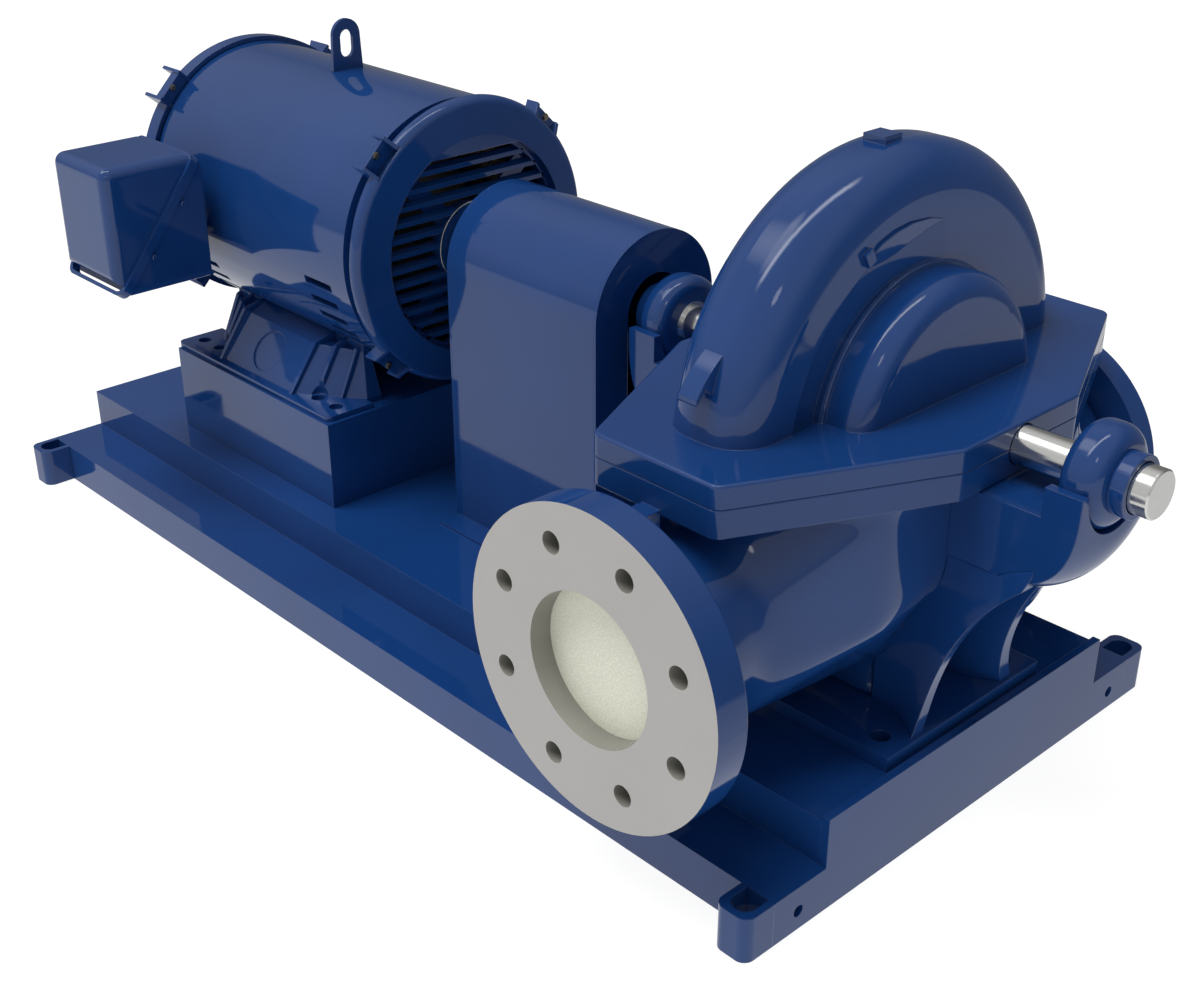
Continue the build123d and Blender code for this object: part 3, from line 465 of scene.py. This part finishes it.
for name, face_x, way in (("front", FRONT_FACE_X, 1), ("rear", REAR_FACE_X, -1)):
    mesh = bmesh.new()
    back_x = face_x - way * GRILLE_DEPTH
    for inner_r, outer_r in ((OPENING_R - GRILLE_RING, OPENING_R), (HUB_INNER_R, HUB_OUTER_R)):
        add_hoop(mesh, min(face_x, back_x), max(face_x, back_x), inner_r, outer_r)
    for row in SLAT_ROWS:
        add_slat(mesh, face_x, way, SLAT_SHIFT + row * SLAT_PITCH)
    for angle in DIAGONALS:
        add_spoke(mesh, face_x, way, angle)
    bmesh.ops.recalc_face_normals(mesh, faces=mesh.faces)
    piece = finish_piece(f"grille_{name}", mesh, sheet_paint)
    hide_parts(f"motor_{name}_louvres")

# Lifting eye: a thin plate, a little narrower at its top, with a long rounded opening
EYE_X = -331 * MM
EYE_T = 5 * MM
EYE_TOP_R = 20.5 * MM
EYE_FOOT_HALF = 23 * MM
EYE_FOOT_Z = SHAFT_Z + 162 * MM
EYE_TOP_Z = SHAFT_Z + 231.5 * MM
EYE_SLOT_R = 9.5 * MM
EYE_SLOT_LOW = 613.5 * MM
EYE_SLOT_HIGH = 628.5 * MM
EYE_STEPS = 32
EYE_SLOT_STEPS = 16


def half_circle(radius, middle_z, start, steps):
    """Points (y, z) of a half circle about the plane y = 0, from its start in degrees."""
    turns = [math.radians(start + 180 * k / steps) for k in range(steps + 1)]
    return [(radius * math.cos(turn), middle_z + radius * math.sin(turn)) for turn in turns]


outer = [(EYE_FOOT_HALF, EYE_FOOT_Z), *half_circle(EYE_TOP_R, EYE_TOP_Z - EYE_TOP_R, 0, EYE_STEPS),
         (-EYE_FOOT_HALF, EYE_FOOT_Z)]
inner = [*half_circle(EYE_SLOT_R, EYE_SLOT_HIGH, 0, EYE_SLOT_STEPS),
         *half_circle(EYE_SLOT_R, EYE_SLOT_LOW, 180, EYE_SLOT_STEPS)]
mesh = bmesh.new()
edges = []
for loop in (outer, inner):
    corners = [mesh.verts.new((EYE_X - EYE_T / 2, y, z)) for y, z in loop]
    edges += [mesh.edges.new((corners[k], corners[(k + 1) % len(corners)])) for k in range(len(corners))]
bmesh.ops.triangle_fill(mesh, use_beauty=True, edges=edges)
grown = bmesh.ops.extrude_face_region(mesh, geom=mesh.faces[:])
moved = [v for v in grown["geom"] if isinstance(v, bmesh.types.BMVert)]
bmesh.ops.translate(mesh, vec=(EYE_T, 0, 0), verts=moved)
bmesh.ops.recalc_face_normals(mesh, faces=mesh.faces)
piece = finish_piece("lifting_eye_plate", mesh, sheet_paint)
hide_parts("lifting_eye")

# Lower casing: the cast body with its passages run together, under the plate's crisp edges.
# On each side one hull takes in the branch's root and the drum, out to four corners under the plate
HULL_Y_NEAR = 0.06
HULL_Y_FAR = 0.25
HULL_Z_LOW = 0.150
HULL_PLATE_GAP = MM
CORNER_X = 147 * MM
CORNER_Y = 148 * MM
CORNER_LOW = 0.268
CORNER_HIGH = PLATE_LOW - 2 * MM
BODY_VOXEL = 4 * MM
BODY_PASSES = 30
BODY_PULL = 0.5
HELD_Y = 0.33
HELD_Z = 0.13
BODY_LAP = 9 * MM
PLATE_TOLERANCE = 0.2 * MM
PAD_Y = -0.30
PAD_HALF = 14 * MM
PAD_LOW = NOZZLE_Z + 106 * MM


def on_pad(co):
    """Whether a point is on the boss between the plate and the flange, which keeps its crisp edges."""
    return co.y < PAD_Y and abs(co.x - PUMP_X) < PAD_HALF and co.z > PAD_LOW


def fill_passages(mesh):
    """Adds the hull of each side's passage."""
    for side in (-1, 1):
        points = [v.co.copy() for v in list(mesh.verts)
                  if HULL_Y_NEAR <= v.co.y * side <= HULL_Y_FAR and HULL_Z_LOW < v.co.z < PLATE_LOW - HULL_PLATE_GAP]
        points += [Vector((PUMP_X + way * CORNER_X, side * CORNER_Y, z))
                   for way in (-1, 1) for z in (CORNER_LOW, CORNER_HIGH)]
        hull = bmesh.ops.convex_hull(mesh, input=[mesh.verts.new(co) for co in points])
        loose = {v for v in hull["geom_interior"] + hull["geom_unused"] if isinstance(v, bmesh.types.BMVert)}
        bmesh.ops.delete(mesh, geom=list(loose), context="VERTS")


def remeshed(mesh):
    """One skin of small even faces around all that the mesh holds."""
    draft_data = bpy.data.meshes.new("body_draft")
    mesh.to_mesh(draft_data)
    mesh.free()
    draft = bpy.data.objects.new("body_draft", draft_data)
    scene.collection.objects.link(draft)
    remesh = draft.modifiers.new("remesh", "REMESH")
    remesh.mode = "VOXEL"
    remesh.voxel_size = BODY_VOXEL
    bpy.context.view_layer.update()
    data = bpy.data.meshes.new_from_object(draft.evaluated_get(bpy.context.evaluated_depsgraph_get()))
    bpy.data.objects.remove(draft)
    return data


def smooth(data):
    """Pulls each vertex toward the middle of its neighbours, but holds those at the flanges and feet."""
    count = len(data.vertices)
    spots = np.empty(count * 3)
    data.vertices.foreach_get("co", spots)
    spots = spots.reshape(-1, 3)
    pairs = np.empty(len(data.edges) * 2, dtype=np.int64)
    data.edges.foreach_get("vertices", pairs)
    pairs = pairs.reshape(-1, 2)
    degree = np.bincount(pairs.ravel(), minlength=count)[:, None]
    held = (abs(spots[:, 1]) > HELD_Y) | (spots[:, 2] < HELD_Z)
    for _ in range(BODY_PASSES):
        total = np.zeros_like(spots)
        np.add.at(total, pairs[:, 0], spots[pairs[:, 1]])
        np.add.at(total, pairs[:, 1], spots[pairs[:, 0]])
        pulled = (1 - BODY_PULL) * spots + BODY_PULL * (total / degree)
        spots = np.where(held[:, None], spots, pulled)
    data.vertices.foreach_set("co", spots.ravel())


source = frame["nodes"]["lower_casing"].data
mesh = bmesh.new()
mesh.from_mesh(source)
fill_passages(mesh)
body_data = remeshed(mesh)
smooth(body_data)
mesh = bmesh.new()
mesh.from_mesh(body_data)
hidden = [v for v in mesh.verts if v.co.z > PLATE_LOW + BODY_LAP or on_pad(v.co)]
bmesh.ops.delete(mesh, geom=hidden, context="VERTS")
for face in mesh.faces:
    face.smooth = True

# The plate's edges and the boss come from the CAD piece as they are
plate = bmesh.new()
plate.from_mesh(source)
crisp = [f for f in plate.faces
         if min(v.co.z for v in f.verts) > PLATE_LOW - PLATE_TOLERANCE or any(on_pad(v.co) for v in f.verts)]
bmesh.ops.delete(plate, geom=list(set(plate.faces) - set(crisp)), context="FACES")
plate_data = bpy.data.meshes.new("plate_edges")
plate.to_mesh(plate_data)
plate.free()
mesh.from_mesh(plate_data)
piece = finish_piece("lower_casing_body", mesh, cast_paint)
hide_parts("lower_casing")

# Raised lip of the casting along the face of the volute, thin at both ends
LIP_X = 572.8 * MM
LIP_PROUD = 3.2 * MM
LIP_RAMP = 22 * MM
LIP_POINTS = ((-86, 588), (-72.8, 597), (-52.2, 603.7), (-28, 607.1), (-1, 605.6), (20, 600.5))
LIP_START = 0.2
LIP_END_SIZE = 0.08
TOE_PROUD = 0.1
mesh = bmesh.new()
rows = []
root = Vector((MM, 0, 0))
for k, (y, z) in enumerate(LIP_POINTS):
    near = LIP_POINTS[max(k - 1, 0)]
    far = LIP_POINTS[min(k + 1, len(LIP_POINTS) - 1)]
    across = Vector((0, near[1] - far[1], far[0] - near[0])).normalized()
    share = LIP_START + (1 - LIP_START) * k / (len(LIP_POINTS) - 1)
    size = max(LIP_END_SIZE, math.sin(math.pi * share))
    top = Vector((LIP_X, y * MM, z * MM))
    toe = top - across * LIP_RAMP * size
    crest = top + Vector((LIP_PROUD * size, 0, 0))
    rows.append([mesh.verts.new(co) for co in (top - root, crest, toe + root * TOE_PROUD, toe - root)])
for near, far in zip(rows, rows[1:]):
    bridge(mesh, near, far)
mesh.faces.new(rows[0])
mesh.faces.new(list(reversed(rows[-1])))
bmesh.ops.recalc_face_normals(mesh, faces=mesh.faces)
finish_piece("volute_face_lip", mesh, cast_paint)

# Floor and sky. Levels are brightness; a slant is the direction that a level follows, over the range
# given of how far the view runs along it
FLOOR_SIZE = 30.0
FLOOR_GLOW = 0.92
FLOOR_LIGHT = 0.80
FLOOR_MATT = 0.20
FLOOR_IN_PAINT = 0.88
FLOOR_BEHIND = 0.62
FLOOR_SLANT = (0, 0.6, 1)
FLOOR_RANGE = (-0.4, 0.18)
HORIZON_SLANT = (0, 1, 0)
HORIZON_DROP = -0.22
HORIZON_RANGE = (-0.2, 0.6)
HORIZON_BLUR = 0.07
SKY_WHITE = 1.0
SKY_LIGHT = 0.33
SKY_LOW = 0.18
SKY_HIGH = 0.62
SKY_SLANT = (0.1, -0.7, 1.2)
SKY_RANGE = (0.0, 0.7)
BAND_NORMAL = (-0.888, 0.453, -0.067)
BAND_HALF_WIDTH = 0.10
BAND_CENTRE = (-0.150, -0.149, 0.978)
BAND_RANGE = (0.829, 0.899)
BAND_LEVEL = 7.0
PATCH_CENTRE = (-0.462, -0.258, 0.849)
PATCH_RANGE = (0.966, 0.99)
PATCH_LEVEL = 2.2
UP = (0, 0, 1)

floor_mesh = bmesh.new()
bmesh.ops.create_grid(floor_mesh, x_segments=1, y_segments=1, size=FLOOR_SIZE)
floor_data = bpy.data.meshes.new("floor")
floor_mesh.to_mesh(floor_data)
floor_mesh.free()
floor = bpy.data.objects.new("floor", floor_data)
scene.collection.objects.link(floor)
floor.visible_glossy = False


def level_by_ray(tree, camera_level, glossy_level, other_level):
    """A strength that depends on the kind of ray: seen directly, seen in a mirror, or lighting."""
    path = tree.nodes.new("ShaderNodeLightPath")
    value = other_level
    for output, seen in (("Is Glossy Ray", glossy_level), ("Is Camera Ray", camera_level)):
        node = tree.nodes.new("ShaderNodeMix")
        node.data_type = "FLOAT"
        tree.links.new(path.outputs[output], node.inputs["Factor"])
        for socket, level in ((node.inputs[2], value), (node.inputs[3], seen)):
            if isinstance(level, float):
                socket.default_value = level
            else:
                tree.links.new(level, socket)
        value = node.outputs[0]
    return value


# The floor is white with a faint shadow, and lights the underside like a lit studio floor
floor_material, floor_tree, _ = new_material("white_floor")
glow = floor_tree.nodes.new("ShaderNodeEmission")
floor_level = level_by_ray(floor_tree, FLOOR_GLOW, FLOOR_IN_PAINT, FLOOR_LIGHT)
floor_tree.links.new(floor_level, glow.inputs["Strength"])
matt = floor_tree.nodes.new("ShaderNodeBsdfDiffuse")
matt.inputs["Color"].default_value = (FLOOR_MATT, FLOOR_MATT, FLOOR_MATT, 1)
both = floor_tree.nodes.new("ShaderNodeAddShader")
floor_tree.links.new(glow.outputs["Emission"], both.inputs[0])
floor_tree.links.new(matt.outputs["BSDF"], both.inputs[1])
floor_tree.links.new(both.outputs["Shader"], floor_tree.nodes["Material Output"].inputs["Surface"])
floor.data.materials.append(floor_material)

# The sky is white to the camera. In the paint it shades with slant above a pale floor, and holds a long
# overhead light and a soft patch
world = bpy.data.worlds.new("studio")
scene.world = world
world.use_nodes = True
world_tree = world.node_tree
view = world_tree.nodes.new("ShaderNodeTexCoord")


def toward(direction):
    """How far the view runs along a direction."""
    node = world_tree.nodes.new("ShaderNodeVectorMath")
    node.operation = "DOT_PRODUCT"
    node.inputs[1].default_value = direction
    world_tree.links.new(view.outputs["Generated"], node.inputs[0])
    return node.outputs["Value"]


def combine(operation, first, second=0.0):
    """A Math node on two values, each a socket or a number."""
    node = world_tree.nodes.new("ShaderNodeMath")
    node.operation = operation
    for socket, value in zip(node.inputs, (first, second)):
        if isinstance(value, float):
            socket.default_value = value
        else:
            world_tree.links.new(value, socket)
    return node.outputs["Value"]


sky_part = spread(world_tree, toward(SKY_SLANT), SKY_LOW, SKY_HIGH, *SKY_RANGE)
horizon = spread(world_tree, toward(HORIZON_SLANT), 0.0, HORIZON_DROP, *HORIZON_RANGE)
floor_shade = spread(world_tree, toward(FLOOR_SLANT), FLOOR_IN_PAINT, FLOOR_BEHIND, *FLOOR_RANGE)
above_horizon = combine("SUBTRACT", toward(UP), horizon)
floor_seen = spread(world_tree, above_horizon, 1.0, 0.0, -HORIZON_BLUR, 0.0)
floor_part = combine("MULTIPLY", floor_shade, floor_seen)
off_band = combine("ABSOLUTE", toward(BAND_NORMAL))
band_across = spread(world_tree, off_band, 1.0, 0.0, 0.0, BAND_HALF_WIDTH)
band_along = spread(world_tree, toward(BAND_CENTRE), 0.0, BAND_LEVEL, *BAND_RANGE)
patch = spread(world_tree, toward(PATCH_CENTRE), 0.0, PATCH_LEVEL, *PATCH_RANGE)
lights = combine("ADD", combine("MULTIPLY", band_across, band_along), patch)
paint_sky = combine("ADD", combine("MAXIMUM", sky_part, floor_part), lights)
sky = world_tree.nodes["Background"]
sky.inputs["Color"].default_value = (1, 1, 1, 1)
world_tree.links.new(level_by_ray(world_tree, SKY_WHITE, paint_sky, SKY_LIGHT), sky.inputs["Strength"])


# Lights
def soft_sun(name, azimuth, elevation, width, power):
    """A sun that shows as a round soft light, given where it stands in the sky and its width in degrees."""
    data = bpy.data.lights.new(name, "SUN")
    data.angle = math.radians(width)
    data.energy = power
    lamp = bpy.data.objects.new(name, data)
    az, el = math.radians(azimuth), math.radians(elevation)
    toward_sun = (math.cos(el) * math.cos(az), math.cos(el) * math.sin(az), math.sin(el))
    lamp.matrix_world = facing((0, 0, 3), toward_sun)
    scene.collection.objects.link(lamp)
    return lamp


overhead = soft_sun("overhead_light", azimuth=-120, elevation=70, width=34, power=2.2)
overhead.visible_glossy = False
soft_sun("front_light", azimuth=-46, elevation=42, width=9, power=0.06)

# Camera
camera_data = bpy.data.cameras.new("camera")
camera_data.sensor_width = SENSOR
camera_data.lens = FOCAL_PIXELS * SENSOR / IMAGE_WIDTH
camera_data.shift_x = (IMAGE_WIDTH / 2 - CENTRE_X) / IMAGE_WIDTH
camera_data.shift_y = (CENTRE_Y - IMAGE_HEIGHT / 2) / IMAGE_WIDTH
camera_data.clip_start = CLIP_START
camera = bpy.data.objects.new("camera", camera_data)
turn = Vector(CAMERA_TURN)
camera.matrix_world = Matrix.Translation(CAMERA_PLACE) @ Matrix.Rotation(turn.length, 4, turn.normalized())
scene.collection.objects.link(camera)
scene.camera = camera

scene.view_settings.view_transform = "Standard"
